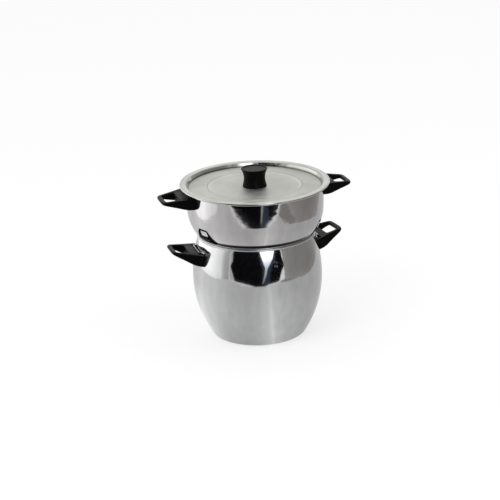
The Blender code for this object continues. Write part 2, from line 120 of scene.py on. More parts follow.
def sheet_inside(path):
    """The path moved to its left by the sheet's thickness, and run backwards."""
    points = [Vector(p) for p in path]
    moved = []
    for index, point in enumerate(points):
        sides = []
        for first, second in ((index - 1, index), (index, index + 1)):
            if first >= 0 and second < len(points):
                along = (points[second] - points[first]).normalized()
                sides.append(Vector((-along.y, along.x)))
        middle = sum(sides, Vector((0, 0))).normalized()
        shifted = point + middle * SHEET / middle.dot(sides[0])
        moved.append((0 if point.x == 0 else shifted.x, shifted.y))
    return moved[::-1]


def spin_profile(name, profile, steps=SHELL_STEPS, closed=True):
    """Draw a profile by extruding one vertex from point to point, and spin it about the axis."""
    deselect_all()
    r, z = profile[0]
    bpy.ops.mesh.primitive_plane_add(size=MM, location=(r * MM, 0, z * MM))
    piece = bpy.context.object
    piece.name = piece.data.name = name
    bpy.ops.object.transform_apply(location=True)
    bpy.ops.object.mode_set(mode="EDIT")
    bpy.ops.mesh.select_all(action="SELECT")
    bpy.ops.mesh.merge(type="CENTER")
    following = profile[1:] + ([profile[0]] if closed else [])
    for before, after in zip(profile, following):
        step = ((after[0] - before[0]) * MM, 0, (after[1] - before[1]) * MM)
        bpy.ops.mesh.extrude_region_move(TRANSFORM_OT_translate={"value": step})
    bpy.ops.mesh.select_all(action="SELECT")
    bpy.ops.mesh.spin(steps=steps, angle=tau, center=(0, 0, 0), axis=(0, 0, 1))
    return tidy_mesh(piece)


# The pot: a foot bend, a lower and an upper arc that meet at the belly, and a rim rolled outward

POT_HEIGHT, POT_MOUTH = 213, 116
BELLY_RADIUS, BELLY_HEIGHT = 132, 122
LOWER_ARC, UPPER_ARC = 222.1, 280
BASE_RADIUS, FOOT_BEND = 92.2, 6


def pot_profile():
    """Base, belly and shoulder of the barrel, and the rolled rim, all in one sheet."""
    base = [(0, 0), (45, 0), (80, 0)] + arc((BASE_RADIUS, FOOT_BEND), FOOT_BEND, -90, -32.5, 6)
    belly = arc((BELLY_RADIUS - LOWER_ARC, BELLY_HEIGHT), LOWER_ARC, -32.47, 0, 22)[1:]
    shoulder = arc((BELLY_RADIUS - UPPER_ARC, BELLY_HEIGHT), UPPER_ARC, 0, 18.1, 14)[1:]
    rim = arc((POT_MOUTH + SHEET + ROLL, POT_HEIGHT - SHEET - ROLL), ROLL, 180, -60, 16)
    path = base + belly + shoulder + rim
    return path + sheet_inside(path)


# The steamer: heights above the pot's rim, and (radius, height) places

SEAT_GAP, NECK_DEPTH, BRIM_HEIGHT, BRIM_RADIUS = 0.3, 22, 102.7, 147
NECK_FOOT, NECK_TOP, LEDGE = 112.7, 115.2, 118
BOWL_CENTRE, BOWL_ARC = (53.53, 54.32), 84.1
WALL_FOOT, WALL_MIDDLE, WALL_TOP = (137.6, 52), (138.3, 77), 139
WALL_LEAN = 0.0276
HOLE_RADIUS, HOLE_PITCH, HOLE_RINGS = 2.5, 18, 5


def steamer_profile():
    """Neck and base inside the pot, the ledge on its rim, bowl, leaning wall and rolled brim."""
    base, seat, brim = POT_HEIGHT - NECK_DEPTH, POT_HEIGHT + SEAT_GAP, POT_HEIGHT + BRIM_HEIGHT
    neck = rounded([(0, base, 0), (60, base, 0), (NECK_FOOT, base, 6), (NECK_TOP, seat, 1), (LEDGE, seat, 0)])
    bowl = arc((BOWL_CENTRE[0], POT_HEIGHT + BOWL_CENTRE[1]), BOWL_ARC, -39.94, -1.58, 22)[1:]
    wall = [(r, POT_HEIGHT + height, 0) for r, height in (WALL_FOOT, WALL_MIDDLE)]
    wall = rounded(wall + [(WALL_TOP, brim, 3), (BRIM_RADIUS, brim, 0)])[1:-1]
    roll = arc((BRIM_RADIUS, brim - ROLL), ROLL, 90, -150, 16)
    path = neck + bowl + wall + roll
    return path + sheet_inside(path)


def steam_holes(shell):
    """Punch one hole in the middle of the base and rings of six more each time around it."""
    base = POT_HEIGHT - NECK_DEPTH + SHEET / 2
    places = [(0, 0)]
    for ring in range(1, HOLE_RINGS + 1):
        holes = 6 * ring
        places += [on_circle((0, 0), HOLE_PITCH * ring, tau * index / holes) for index in range(holes)]
    deselect_all()
    pins = []
    for x, y in places:
        bpy.ops.mesh.primitive_cylinder_add(vertices=20, radius=HOLE_RADIUS * MM, depth=6 * MM,
                                            location=(x * MM, y * MM, base * MM))
        pins.append(bpy.context.object)
    deselect_all()
    for pin in pins:
        pin.select_set(True)
    bpy.context.view_layer.objects.active = pins[0]
    bpy.ops.object.join()
    cut_away(shell, bpy.context.object)
    return tidy_mesh(shell)


# The lid and its knob: heights above the table, and the knob's above its foot

LID_BORE, LID_STEP_IN, LID_STEP_OUT = 2.9, 88, 95
LID_WALL_FOOT, LID_WALL_TOP, LID_RADIUS = 133.6, 137.8, 150.2
LID_MIDDLE, LID_PANEL, LID_PANEL_EDGE, LID_FLANGE, LID_HEM = 307.3, 309.3, 308.5, 316.8, 1.4
KNOB_FOOT, KNOB_HEIGHT = 308.4, 37
KNOB_BASE, KNOB_WAIST, KNOB_TOP, KNOB_LIP = 24.8, 21.4, 27, 27.4
WAIST_SHARE, WAIST_CURVE = 0.48, 1.8
SOCKET_RADIUS, SOCKET_DEPTH, DISH_RADIUS, DISH_DEPTH = 5.3, 16.3, 21, 1.6


def lid_profile():
    """Sunk panel with its middle pressed down further, recess wall, flange and turned-down hem."""
    path = rounded([(LID_BORE, LID_MIDDLE, 0), (40, LID_MIDDLE, 0), (LID_STEP_IN, LID_MIDDLE, 6),
                    (LID_STEP_OUT, LID_PANEL, 6), (LID_WALL_FOOT, LID_PANEL_EDGE, 1.6),
                    (LID_WALL_TOP, LID_FLANGE, 1.6), (LID_RADIUS, LID_FLANGE, 0.7),
                    (LID_RADIUS, LID_FLANGE - LID_HEM, 0)], 8)
    return path + sheet_inside(path)


def knob_profile():
    """Spool with a dished top, and the socket for its insert below."""
    points = [(0, SOCKET_DEPTH, 0), (SOCKET_RADIUS, SOCKET_DEPTH, 0), (SOCKET_RADIUS, 0, 0), (24.5, 0, 1)]
    for step in range(1, 16):
        share = step / 16
        end, span = (KNOB_BASE, WAIST_SHARE) if share < WAIST_SHARE else (KNOB_TOP, 1 - WAIST_SHARE)
        away = abs(share - WAIST_SHARE) / span
        points.append((KNOB_WAIST + (end - KNOB_WAIST) * away ** WAIST_CURVE, KNOB_HEIGHT * share, 0))
    dish = KNOB_HEIGHT - DISH_DEPTH
    points += [(KNOB_LIP, KNOB_HEIGHT, 1.2), (24, KNOB_HEIGHT, 0.8), (DISH_RADIUS, dish, 2), (0, dish, 0)]
    return [(r, KNOB_FOOT + z) for r, z in rounded(points)]


# The loop handles: flat bars at the wall and the tip, and softer arms between them. A handle's own x runs
# outward from the wall. A slice's corner radii are for its upper edges, at the hole and outside, and then for
# its lower edges, outside and at the hole. An arm's slice has its x at the hole, its x outside and how far
# its radii are the arms' own. A side's end is (x, half width), and a bore is (radius, start, end)

HANDLE_HEIGHT = {"pot": 177, "steamer": 297}
HANDLE_TILT = {"pot": radians(10), "steamer": radians(-6)}
HANDLE_TURNS = {"pot_handle_right": radians(7), "pot_handle_left": pi, "steamer_handle_right": 0,
                "steamer_handle_left": pi}
HANDLE_TOP, WALL_GAP, HOLE_DRAFT = 11.5, 0.35, 0.7
ROOT_RADII, ARM_RADII, TIP_RADII = (1.8, 0.6, 0.8, 2.0), (3.4, 3.4, 2.2, 2.2), (1.5, 1.8, 1.5, 1.8)
SIDE_ROOT, SIDE_TIP = (-7.17, 43.5), (58, 28)
HOLE_ROOT, HOLE_TIP, HOLE_CORNER = (26, 22), (45, 17.5), 3.5
TIP_CORNER, TIP_ROUND, ARM_ANGLE = (46.4, 19.3), 11, radians(76.6)
ARM_WIDTH, ARM_SLICES = 10, ((29, 12, 0.75), (31.5, 20, 0.95), (35, 30, 1), (38.5, 38, 1), (42, 44.5, 1))
HEEL, HEEL_SLOPE, HEEL_SOFTNESS = 8, 0.37, 3
POCKET_SIZE, POCKET_MIDDLE = (24.3, 73, 24.6), (-7.85, 0, 5)
SCREW_BORES = ((2.9, -5, 20), (5.8, 16.5, 24))


def wall_radius(vessel, z):
    """Outer radius of a vessel's wall at a height."""
    if vessel == "steamer":
        return WALL_FOOT[0] + WALL_LEAN * (z - POT_HEIGHT - WALL_FOOT[1])
    return BELLY_RADIUS - UPPER_ARC + sqrt(UPPER_ARC ** 2 - (z - BELLY_HEIGHT) ** 2)


def handle_frame(vessel):
    height = HANDLE_HEIGHT[vessel]
    seat = Matrix.Translation((wall_radius(vessel, height), 0, height))
    return seat @ Matrix.Rotation(-HANDLE_TILT[vessel], 4, "Y")


def wall_behind(vessel, y, z):
    """Where the handle's root meets the wall, along the handle's own x."""
    seat, x = handle_frame(vessel), 0
    for _ in range(6):
        point = seat @ Vector((x, y, z))
        x += sqrt(wall_radius(vessel, point.z) ** 2 - y ** 2) - point.x
    return x + WALL_GAP


def outer_half(x):
    """Half the handle's width, which narrows evenly from the wall to the tip."""
    share = (x - SIDE_ROOT[0]) / (SIDE_TIP[0] - SIDE_ROOT[0])
    return SIDE_ROOT[1] - (SIDE_ROOT[1] - SIDE_TIP[1]) * share


def underside(x):
    """The underside is level at the wall and climbs to the tip past a soft heel."""
    past = x - HEEL
    if past < -HEEL_SOFTNESS:
        return -HANDLE_TOP
    if past < HEEL_SOFTNESS:
        return -HANDLE_TOP + HEEL_SLOPE * (past + HEEL_SOFTNESS) ** 2 / (4 * HEEL_SOFTNESS)
    return -HANDLE_TOP + HEEL_SLOPE * past


def mix(first, second, share):
    return tuple(a + (b - a) * share for a, b in zip(first, second))


def half_handle_stations():
    """Slices round half the hole: (hole edge, outer edge, corner radii). None is an edge on the wall."""
    stations = [((23, 0), (None, 0), ROOT_RADII), ((22.9, 8), (None, 10), ROOT_RADII),
                ((22.7, 16), (None, 21), ROOT_RADII)]
    outers = [(None, 30), (None, 36), (None, 40.5), (None, 42.8), (-4, outer_half(-4) - 0.2),
              (3, outer_half(3))]
    for index, outer in enumerate(outers):
        angle = pi + (ARM_ANGLE - pi) * index / (len(outers) - 1)
        radii = mix(ROOT_RADII, ARM_RADII, index / (8 if index > 3 else 20))
        outer_top = ROOT_RADII[1] + 0.5 * max(0, index - 3)
        stations.append((on_circle(HOLE_ROOT, HOLE_CORNER, angle), outer, (radii[0], outer_top, *radii[2:])))
    for hole_x, outer_x, share in ARM_SLICES:
        stations.append(((hole_x, outer_half(hole_x) - ARM_WIDTH), (outer_x, outer_half(outer_x)),
                         mix(ROOT_RADII, ARM_RADII, share)))
    for index in range(7):
        angle = ARM_ANGLE * (1 - index / 6)
        stations.append((on_circle(HOLE_TIP, HOLE_CORNER, angle), on_circle(TIP_CORNER, TIP_ROUND, angle),
                         mix(ARM_RADII, TIP_RADII, index / 6)))
    return stations + [((48.8, 9), (57.85, 10), TIP_RADII), ((49, 0), (58, 0), TIP_RADII)]


def handle_section(vessel, hole, outer, radii, mirror):
    """One upright slice through the handle, from the finger hole to its outer edge."""
    high, across = outer
    low = high
    if high is None:
        high, low = (wall_behind(vessel, across, z) for z in (HANDLE_TOP, -HANDLE_TOP))
    hole = Vector(hole)
    along = (Vector((high, across)) - hole).normalized()
    reach_high, reach_low = ((Vector((x, across)) - hole).dot(along) for x in (high, low))
    corners = [(0, HANDLE_TOP, radii[0]), (reach_high, HANDLE_TOP, radii[1]),
               (reach_low, underside(low), radii[2]), (HOLE_DRAFT, underside(hole.x), radii[3])]
    loop = rounded([corners[-1]] + corners + [corners[0]], 4)[1:-1]
    places = [(hole.x + along.x * s, (hole.y + along.y * s) * mirror, z) for s, z in loop]
    return places + places[:1]


def loop_handle(vessel):
    """Loft the handle round its finger hole, then cut the bracket's pocket and the screw's counterbore."""
    half = half_handle_stations()
    stations = [(*station, 1) for station in half] + [(*station, -1) for station in half[-2::-1]]
    sections = [handle_section(vessel, *station) for station in stations]
    deselect_all()
    bpy.ops.mesh.primitive_grid_add(x_subdivisions=len(sections[0]) - 1, y_subdivisions=len(sections) - 1)
    piece = bpy.context.object
    for vertex, place in zip(piece.data.vertices, [place for section in sections for place in section]):
        vertex.co = Vector(place) * MM
    tidy_mesh(piece)
    bpy.ops.mesh.primitive_cube_add(size=1, location=Vector(POCKET_MIDDLE) * MM,
                                    scale=Vector(POCKET_SIZE) * MM)
    cutters = [bpy.context.object]
    for radius, start, end in SCREW_BORES:
        bpy.ops.mesh.primitive_cylinder_add(vertices=48, radius=radius * MM, depth=(end - start) * MM,
                                            location=((start + end) / 2 * MM, 0, 0), rotation=(0, pi / 2, 0))
        cutters.append(bpy.context.object)
    for cutter in cutters:
        cut_away(piece, cutter)
    return tidy_mesh(piece)


def place_handle(model, vessel, name):
    """A copy of the modelled handle, turned round to its side of the vessel."""
    work_on(model)
    bpy.ops.object.duplicate()
    piece = bpy.context.object
    piece.name = piece.data.name = name.replace("handle", "loop_handle")
    seat = handle_frame(vessel)
    seat.translation *= MM
    piece.matrix_world = Matrix.Rotation(HANDLE_TURNS[name], 4, "Z") @ seat
    bpy.ops.object.transform_apply(location=True, rotation=True, scale=True)
    return piece


# Materials, with the width of each pattern's features in millimetres and bump distances in metres

def colour(code):
    """A hex colour as it looks on screen, turned into the linear values that nodes take."""
    values = [int(code[i:i + 2], 16) / 255 for i in (1, 3, 5)]
    return tuple(v / 12.92 if v <= 0.04045 else ((v + 0.055) / 1.055) ** 2.4 for v in values) + (1,)


def new_material(name):
    material = bpy.data.materials.new(name)
    material.use_nodes = True
    return material, material.node_tree.nodes["Principled BSDF"]


def link(material, node, **links):
    """Feed inputs, named or numbered as _0: from a node's first output, an output socket or a value."""
    for name, source in links.items():
        socket = node.inputs[int(name[1:])] if name[0] == "_" else node.inputs[name.replace("_", " ")]
        if isinstance(source, bpy.types.Node):
            source = next(out for out in source.outputs if out.enabled)
        if isinstance(source, bpy.types.NodeSocket):
            material.node_tree.links.new(source, socket)
        else:
            socket.default_value = source


def add_node(material, kind, settings=(), **links):
    """A node with its settings and what feeds it. A ramp's stops are (position, hex colour or grey) pairs."""
    node = material.node_tree.nodes.new("ShaderNode" + kind)
    for name, value in dict(settings).items():
        if name != "stops":
            setattr(node, name, value)
            continue
        elements = node.color_ramp.elements
        while len(elements) < len(value):
            elements.new(0.5)
        for element, (position, tone) in zip(elements, value):
            element.position = position
            element.color = colour(tone) if isinstance(tone, str) else (tone, tone, tone, 1)
    link(material, node, **links)
    return node


def per_metre(width):
    """How many of a pattern's features fit in a metre, from the width of one."""
    return 1 / (width * MM)


def around_and_up(material, around, up):
    """Coordinates on a turned surface for a pattern with one width around it and another up it."""
    place = add_node(material, "TexCoord").outputs["Object"]
    scale = (per_metre(around), per_metre(around), per_metre(up))
    return add_node(material, "Mapping", _0=place, Scale=scale)


def ranging(material, measure, ends, low=0.0, high=1.0):
    """What a measured length gives, going from low to high between two lengths in millimetres."""
    start, end = ends
    return add_node(material, "MapRange", Value=measure, From_Min=start * MM, From_Max=end * MM, To_Min=low,
                    To_Max=high)


# What a Mix node mixes
MIX_VALUES, MIX_COLOURS = {"data_type": "FLOAT"}, {"data_type": "RGBA"}

# Heights between which the pot's rim turns from polished to worn, and between which the band of painted
# shade at the steamer's joint fades out at its foot and at its top
RIM_WEAR = (POT_HEIGHT - 3.6, POT_HEIGHT - 3)
SHADE_BAND_FOOT, SHADE_BAND_TOP = (POT_HEIGHT + 4, POT_HEIGHT + 3.4), (POT_HEIGHT + 9.5, POT_HEIGHT + 12)


def polished_steel(name, tones, wave_height, painted_joint_shade=False, worn_rim=False):
    """Deep-drawn 18/10 sheet, polished on a spindle: a near mirror, a little wavy from the drawing, with the
    wheel's rings round it, which soften what it mirrors in bands. They are drawn coarser than the real ones,
    so that they show. Handling has left it cloudy in patches, and a rolled rim has worn to a satin. Where the
    steamer sits in the pot, a band of painted shade darkens the colour, for the gap's shadow and the dark it
    mirrors there."""
    material, shader = new_material(name)
    place = add_node(material, "TexCoord").outputs["Object"]
    height = add_node(material, "SeparateXYZ", Vector=place).outputs["Z"]
    rings = add_node(material, "TexNoise", Vector=around_and_up(material, 167, 1.11), Scale=1.0, Detail=3.0)
    patches = add_node(material, "TexNoise", Vector=place, Scale=per_metre(111), Detail=2.0)
    both = add_node(material, "Mix", MIX_VALUES, _0=0.4, _2=rings.outputs[0], _3=patches.outputs[0])
    dull = add_node(material, "MapRange", Value=both.outputs[0], From_Min=0.3, From_Max=0.7, To_Min=0.04,
                    To_Max=0.1)
    if worn_rim:
        worn = ranging(material, height, RIM_WEAR)
        dull = add_node(material, "Mix", MIX_VALUES, _0=worn, _2=dull.outputs[0], _3=0.38)
    cloud = add_node(material, "TexNoise", Vector=around_and_up(material, 16.7, 45.5), Scale=1.0, Detail=4.0)
    tint = add_node(material, "ValToRGB", {"stops": [(0.3, tones[0]), (0.72, tones[1])]}, Fac=cloud)
    sheen = tint.outputs[0]
    # Painted shade: a near-black band in the colour where the steamer sits in the pot, for the gap's shadow
    if painted_joint_shade:
        below, above = ranging(material, height, SHADE_BAND_FOOT), ranging(material, height, SHADE_BAND_TOP)
        unshaded = add_node(material, "Math", {"operation": "MAXIMUM"}, _0=above, _1=below)
        joint_shaded = add_node(material, "Mix", MIX_COLOURS, _0=unshaded, _6=colour("#0B0B0D"), _7=sheen)
        sheen = joint_shaded.outputs[2]
    waves = add_node(material, "TexNoise", Vector=place, Scale=per_metre(14.3), Detail=1.0)
    ripple = add_node(material, "TexNoise", Vector=around_and_up(material, 3.33, 7.69), Scale=1.0, Detail=2.0)
    wavy = add_node(material, "Bump", Height=waves, Distance=wave_height, Strength=1.0)
    skin = add_node(material, "Bump", Height=ripple, Distance=0.000006, Strength=1.0, Normal=wavy)
    link(material, shader, Base_Color=sheen, Roughness=dull.outputs[0], Normal=skin, Metallic=1)
    return material


# Radii on the lid between which the brushing stops and both sides of the pressed step turn bright, and the
# thin lines of painted shade at the corners of the pressing, as (radius, half width, colour)
BRUSHED_END = (LID_WALL_FOOT - 2.6, LID_WALL_FOOT + 0.4)
STEP_INSIDE, STEP_OUTSIDE = (LID_STEP_IN - 1.5, LID_STEP_IN + 1), (LID_STEP_OUT + 1.5, LID_STEP_OUT - 0.5)
PAINTED_CORNER_SHADE = ((LID_STEP_OUT + 0.3, 1.1, "#7C7C76"), (LID_WALL_FOOT - 0.2, 1.6, "#484843"),
               (LID_WALL_TOP + 0.3, 0.9, "#62625C"), (LID_RADIUS - 2, 0.7, "#8A8A84"))


def satin_steel():
    """The lid's sheet, brushed round in rings to a satin: pale and soft, with the rings just visible. They
    are drawn coarser than the real ones, so that they show. The pressed step and the drawn wall and rim
    outside the brushed panel keep the sheet's own brightness, and the sheet is dented a little."""
    material, shader = new_material("satin_stainless_sheet")
    place = add_node(material, "TexCoord").outputs["Object"]
    flat = add_node(material, "Mapping", _0=place, Scale=(1, 1, 0))
    radius = add_node(material, "VectorMath", {"operation": "LENGTH"}, _0=flat).outputs["Value"]
    rings = add_node(material, "TexNoise", {"noise_dimensions": "1D"}, W=radius, Scale=per_metre(1.11),
                     Detail=4.0)
    uneven = add_node(material, "TexNoise", Vector=place, Scale=per_metre(38.5), Detail=3.0)
    both = add_node(material, "Mix", MIX_VALUES, _0=0.5, _2=rings.outputs[0], _3=uneven.outputs[0])
    brushed = add_node(material, "MapRange", Value=both.outputs[0], From_Min=0.35, From_Max=0.65,
                       To_Min=0.42, To_Max=0.58)
    rim, inner, outer = (ranging(material, radius, ends) for ends in (BRUSHED_END, STEP_INSIDE, STEP_OUTSIDE))
    step = add_node(material, "Math", {"operation": "MULTIPLY"}, _0=inner, _1=outer)
    dimmer_step = add_node(material, "Math", {"operation": "MULTIPLY"}, _0=step, _1=0.6)
    bright = add_node(material, "Math", {"operation": "MAXIMUM"}, _0=rim, _1=dimmer_step)
    dull = add_node(material, "Mix", MIX_VALUES, _0=bright, _2=brushed.outputs[0], _3=0.17)
    patches = add_node(material, "TexNoise", Vector=place, Scale=per_metre(71.4), Detail=3.0)
    tint = add_node(material, "ValToRGB", {"stops": [(0.3, "#B7B8B1"), (0.7, "#CACAC4")]}, Fac=patches)
    sheen = tint.outputs[0]
    # Painted shade: thin darker lines in the colour at the step, the wall's foot and top and the rim's edge
    for middle, half_width, code in PAINTED_CORNER_SHADE:
        across = ranging(material, radius, (middle - half_width, middle + half_width), -1.0)
        off = add_node(material, "Math", {"operation": "ABSOLUTE"}, _0=across)
        sheen = add_node(material, "Mix", MIX_COLOURS, _0=off, _6=colour(code), _7=sheen).outputs[2]
    lines = add_node(material, "Bump", Height=rings, Distance=0.000004, Strength=1.0)
    dents = add_node(material, "Bump", Height=patches, Distance=0.004, Strength=1.0, Normal=lines)
    link(material, shader, Base_Color=sheen, Roughness=dull.outputs[0], Normal=dents, Metallic=1)
    return material


# How far from the handles' middle line the painted sheen and dust thin out: none of it beyond, all of it
# within
SHEEN_AND_DUST_END = (26, 18)


def phenolic():
    """Compression-moulded black phenolic: dense, satin and very slightly mottled in its gloss. The level tops
    of the knob and of the handles' bars are greyed near their middle by a painted sheen, for the light they
    mirror from above, and by some dust."""
    material, shader = new_material("moulded_black_phenolic")
    place = add_node(material, "TexCoord").outputs["Object"]
    facing = add_node(material, "NewGeometry").outputs["Normal"]
    upward = add_node(material, "SeparateXYZ", Vector=facing).outputs["Z"]
    # Painted sheen with some dust: level tops near the middle line get a lighter colour
    lying = add_node(material, "MapRange", Value=upward, From_Min=0.9, From_Max=0.97)
    across = add_node(material, "SeparateXYZ", Vector=place).outputs["Y"]
    aside = add_node(material, "Math", {"operation": "ABSOLUTE"}, _0=across)
    toward_middle = ranging(material, aside, SHEEN_AND_DUST_END)
    sheen_and_dust = add_node(material, "Math", {"operation": "MULTIPLY"}, _0=lying, _1=toward_middle)
    mottle = add_node(material, "TexNoise", Vector=place, Scale=per_metre(4.55), Detail=3.0)
    dull = add_node(material, "MapRange", Value=mottle, From_Min=0.3, From_Max=0.7, To_Min=0.36, To_Max=0.46)
    tint = add_node(material, "ValToRGB", {"stops": [(0, "#050505"), (1, "#0A0A08")]}, Fac=mottle)
    greyed = add_node(material, "Mix", MIX_COLOURS, _0=sheen_and_dust, _6=tint.outputs[0], _7=colour("#30302A"))
    grain = add_node(material, "TexNoise", Vector=place, Scale=per_metre(1.11), Detail=2.0)
    skin = add_node(material, "Bump", Height=grain, Distance=0.00001, Strength=1.0)
    link(material, shader, Base_Color=greyed.outputs[2], Roughness=dull, Normal=skin,
         Specular_IOR_Level=0.06)
    return material


def cloudy_metal(name, width, detail, tones, roughness):
    """A plain metal whose tone and gloss drift together in soft clouds."""
    material, shader = new_material(name)
    place = add_node(material, "TexCoord").outputs["Object"]
    cloud = add_node(material, "TexNoise", Vector=place, Scale=per_metre(width), Detail=detail)
    tint = add_node(material, "ValToRGB", {"stops": [(0, tones[0]), (1, tones[1])]}, Fac=cloud)
    dull = add_node(material, "MapRange", Value=cloud, From_Min=0.3, From_Max=0.7, To_Min=roughness[0],
                    To_Max=roughness[1])
    link(material, shader, Base_Color=tint, Roughness=dull, Metallic=1)
    return material


def zinc_plate():
    """Folded steel strip and screws with bright zinc plating: cloudy grey, slightly blue, satin."""
    return cloudy_metal("bright_zinc_plating", 6.25, 4.0, ("#B9BCC0", "#CDD0D3"), (0.2, 0.34))


def turned_brass():
    """The knob's insert: plain turned brass, a little dulled."""
    return cloudy_metal("turned_brass", 2.5, 3.0, ("#B08D4A", "#D2B068"), (0.25, 0.4))


def dress(piece, material):
    piece.data.materials.clear()
    piece.data.materials.append(material)
    return piece


# The camera, fitted to the photograph's edges

CAMERA_DISTANCE, AIM_HEIGHT = 3.12, 0.17
CAMERA_HEIGHT_ANGLE, CAMERA_ROLL, CAMERA_AZIMUTH = radians(19.6), radians(-1.85), radians(-16.1)
FOCAL_PIXELS, CENTRE_PIXELS, FRAME_PIXELS, SENSOR_WIDTH = 1531, (256.8, 250.5), 500, 36


def place_camera():
    flat, lift = cos(CAMERA_HEIGHT_ANGLE), sin(CAMERA_HEIGHT_ANGLE)
    aside, along = sin(CAMERA_AZIMUTH), cos(CAMERA_AZIMUTH)
    ahead = Vector((-flat * aside, flat * along, -lift))
    right = Vector((along, aside, 0))
    up = right.cross(ahead)
    rolled_right = right * cos(CAMERA_ROLL) + up * sin(CAMERA_ROLL)
    rolled_up = up * cos(CAMERA_ROLL) - right * sin(CAMERA_ROLL)
    place = Matrix((rolled_right, rolled_up, -ahead)).transposed().to_4x4()
    place.translation = Vector((0, 0, AIM_HEIGHT)) - ahead * CAMERA_DISTANCE
    bpy.ops.object.camera_add()
    camera = bpy.context.object
    camera.matrix_world = place
    camera.data.sensor_width = SENSOR_WIDTH
    camera.data.lens = FOCAL_PIXELS * SENSOR_WIDTH / FRAME_PIXELS
    camera.data.shift_x = -(CENTRE_PIXELS[0] - FRAME_PIXELS / 2) / FRAME_PIXELS
    camera.data.shift_y = (CENTRE_PIXELS[1] - FRAME_PIXELS / 2) / FRAME_PIXELS
    bpy.context.scene.camera = camera


def camera_side(x, y, z):
    """A point given to the right of, away from and above the pot as the camera sees it."""
    along, aside = cos(CAMERA_AZIMUTH), sin(CAMERA_AZIMUTH)
    return (x * along - y * aside, x * aside + y * along, z)


# The studio: a white floor and world, and cards that only the metal sees. The cards stand for the table and
# the room round it, with the room's light and shade painted on them as glow, and their places are as
# camera_side takes them

TABLE_EDGE, ROOM_LEFT, ROOM_RIGHT, ROOM_BACK, ROOM_TOP = -0.72, -0.80, 0.72, 0.9, 1.2
TABLE_HEIGHT, SHADE_HEIGHT, CARD_GAP = 0.0004, 0.002, 0.01
WORLD_LIGHT, FLOOR_SIZE, FLOOR_TONE, FLOOR_GLOW, GRADED_HEIGHT = 0.75, 60, 0.45, 0.62, 0.6

# The share of a turn from behind the pot, and how bright the painted light on the table is there
TABLE_BANDS = [(0, 0.45), (0.15, 0.55), (0.21, 0.72), (0.32, 0.50), (0.389, 0.34), (0.467, 0.28),
               (0.50, 0.34), (0.536, 0.46), (0.548, 0.60), (0.56, 0.46), (0.60, 0.36), (0.667, 0.29),
               (0.778, 0.29), (0.889, 0.4), (1, 0.45)]
TABLE_SHADE = [(0.50, TABLE_EDGE), (0.52, -0.64), (0.60, -0.50), (ROOM_RIGHT, -0.28),
               (ROOM_RIGHT, TABLE_EDGE)]

# Outlines, as (x, height) at the table's near edge, of the dark room in front and of the window's light in it
DOORWAY = [(-0.552, 0.018), (-0.33, 0.024), (-0.175, 0.016), (-0.05, 0.0), (0.13, 0.0), (0.24, 0.016),
           (0.505, 0.015), (0.589, 0.107), (0.744, 0.198), (0.672, 0.326), (0.70, 0.636), (0.715, ROOM_TOP),
           (-0.79, ROOM_TOP), (-0.70, 0.6), (-0.662, 0.288), (-0.742, 0.213), (-0.663, 0.129)]
WINDOW = [(0.081, 0.036), (0.11, 0.036), (0.14, 0.08), (0.177, 0.127), (0.195, 0.165), (0.216, 0.202),
          (0.297, 0.266), (0.37, 0.332), (0.42, 0.506), (0.47, ROOM_TOP), (0.03, ROOM_TOP), (0.07, 0.5),
          (0.078, 0.337), (0.116, 0.273), (0.155, 0.205), (0.145, 0.165), (0.131, 0.128), (0.105, 0.08)]
HAZE = [(0.10, 0.02), (0.25, 0.02), (0.26, 0.12), (0.31, 0.20), (0.38, 0.27), (0.45, 0.34), (0.50, 0.5),
        (0.55, ROOM_TOP), (-0.03, ROOM_TOP), (0.03, 0.5), (0.04, 0.34), (0.07, 0.26), (0.10, 0.2),
        (0.09, 0.12)]
SPARKS = ((0.385, 0.252), (0.45, 0.240), (0.385, 0.203), (0.45, 0.196))
SPARK_WIDTH, SPARK_HEIGHT = 0.016, 0.014


def seen_directly(material):
    """1 for what the camera, mirrors and clear things see, 0 for light that falls on the object."""
    path = add_node(material, "LightPath").outputs
    seen = add_node(material, "Math", {"operation": "MAXIMUM"}, _0=path["Is Camera Ray"],
                    _1=path["Is Glossy Ray"])
    return add_node(material, "Math", {"operation": "MAXIMUM"}, _0=seen, _1=path["Is Transmission Ray"])


def light_world():
    bpy.context.scene.view_settings.view_transform = "Standard"
    world = bpy.data.worlds.new("white_studio")
    bpy.context.scene.world = world
    world.use_nodes = True
    strength = add_node(world, "MapRange", Value=seen_directly(world), To_Min=WORLD_LIGHT, To_Max=1.0)
    link(world, world.node_tree.nodes["Background"], Color=(1, 1, 1, 1), Strength=strength)


def build_floor():
    deselect_all()
    bpy.ops.mesh.primitive_plane_add(size=FLOOR_SIZE)
    floor = bpy.context.object
    floor.name = "white_floor"
    material, shader = new_material("white_floor_paint")
    lift = add_node(material, "Math", {"operation": "MULTIPLY"}, _0=seen_directly(material), _1=FLOOR_GLOW)
    link(material, shader, Base_Color=(FLOOR_TONE, FLOOR_TONE, FLOOR_TONE, 1), Roughness=0.9,
         Specular_IOR_Level=0, Emission_Color=(1, 1, 1, 1), Emission_Strength=lift)
    dress(floor, material)


def glow(name, code, strength):
    """A plain light of one colour, as on a card that stands for something bright or dark."""
    material, shader = new_material(name)
    link(material, shader, Base_Color=(0, 0, 0, 1), Specular_IOR_Level=0, Emission_Color=colour(code),
         Emission_Strength=strength)
    return material


def side_value(material, axis):
    """How far a point lies along a direction of the camera's side."""
    place = add_node(material, "TexCoord").outputs["Object"]
    return add_node(material, "VectorMath", {"operation": "DOT_PRODUCT"}, _0=place,
                    _1=camera_side(*axis)).outputs["Value"]


